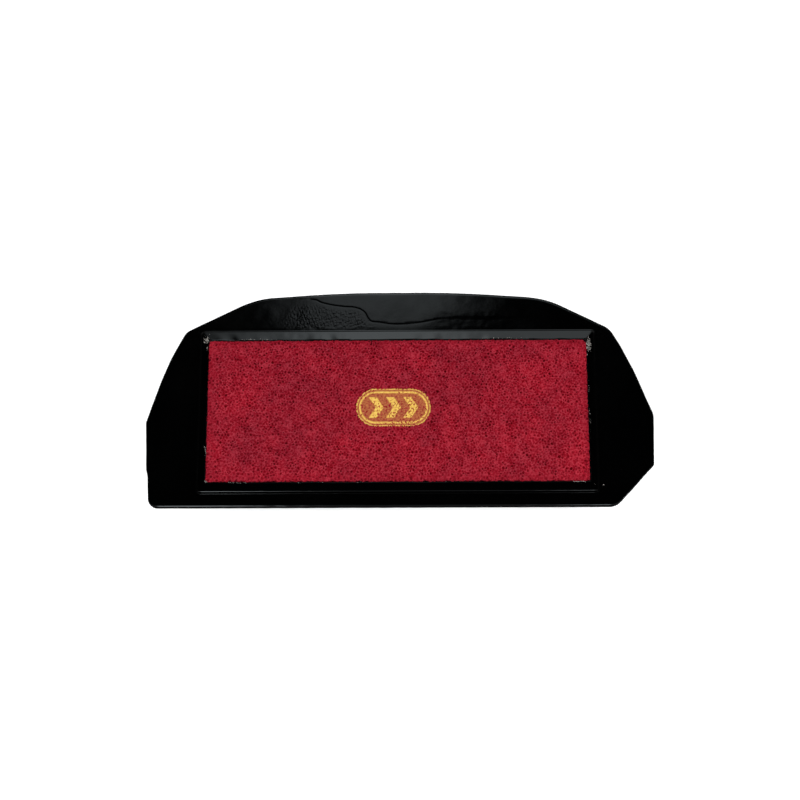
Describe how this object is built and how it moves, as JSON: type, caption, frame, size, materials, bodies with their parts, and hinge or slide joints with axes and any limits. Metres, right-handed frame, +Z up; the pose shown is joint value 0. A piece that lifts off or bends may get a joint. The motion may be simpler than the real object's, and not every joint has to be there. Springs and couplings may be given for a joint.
{
  "type": "panel air filter",
  "caption": "Flat panel air filter: red open-cell foam bonded in a glossy black moulded flange frame with one chamfered corner, a rear wire screen and an edge seal.",
  "frame": {"origin": "centre of the flange's outline, on the plane of the collar's underside", "axes": "+X along the filter's length, +Y towards the long edge with two slanted corners, +Z up towards the dusty side"},
  "size_m": [0.3005, 0.1324, 0.0271],
  "materials": {
    "frame_moulding": "gloss black moulding with faint flow lines",
    "seal_sponge": "matt closed-cell sponge",
    "coarse_foam": "open-cell reticulated foam, lightly oiled",
    "fine_foam": "fine open-cell foam",
    "adhesive": "dried translucent adhesive",
    "print_ink": "ink printed on foam",
    "screen_steel": "zinc-plated wire"
  },
  "bodies": {
    "root": {"flange_frame": "frame_moulding", "perimeter_seal": "seal_sponge", "coarse_foam_pad": "coarse_foam", "fine_foam_pad": "fine_foam", "front_adhesive_bead": "adhesive", "rear_adhesive_bead": "adhesive", "printed_mark": "print_ink", "screen_border": "screen_steel", "screen_cross_wire_1": "screen_steel", "screen_cross_wire_2": "screen_steel", "screen_cross_wire_3": "screen_steel", "screen_cross_wire_4": "screen_steel", "screen_cross_wire_5": "screen_steel", "screen_cross_wire_6": "screen_steel", "screen_cross_wire_7": "screen_steel", "screen_cross_wire_8": "screen_steel", "screen_cross_wire_9": "screen_steel", "screen_cross_wire_10": "screen_steel", "screen_cross_wire_11": "screen_steel", "screen_cross_wire_12": "screen_steel", "screen_cross_wire_13": "screen_steel", "screen_cross_wire_14": "screen_steel", "screen_cross_wire_15": "screen_steel", "screen_cross_wire_16": "screen_steel", "screen_long_wire_1": "screen_steel", "screen_long_wire_2": "screen_steel", "screen_long_wire_3": "screen_steel", "screen_long_wire_4": "screen_steel", "screen_long_wire_5": "screen_steel"}
  },
  "joints": []
}
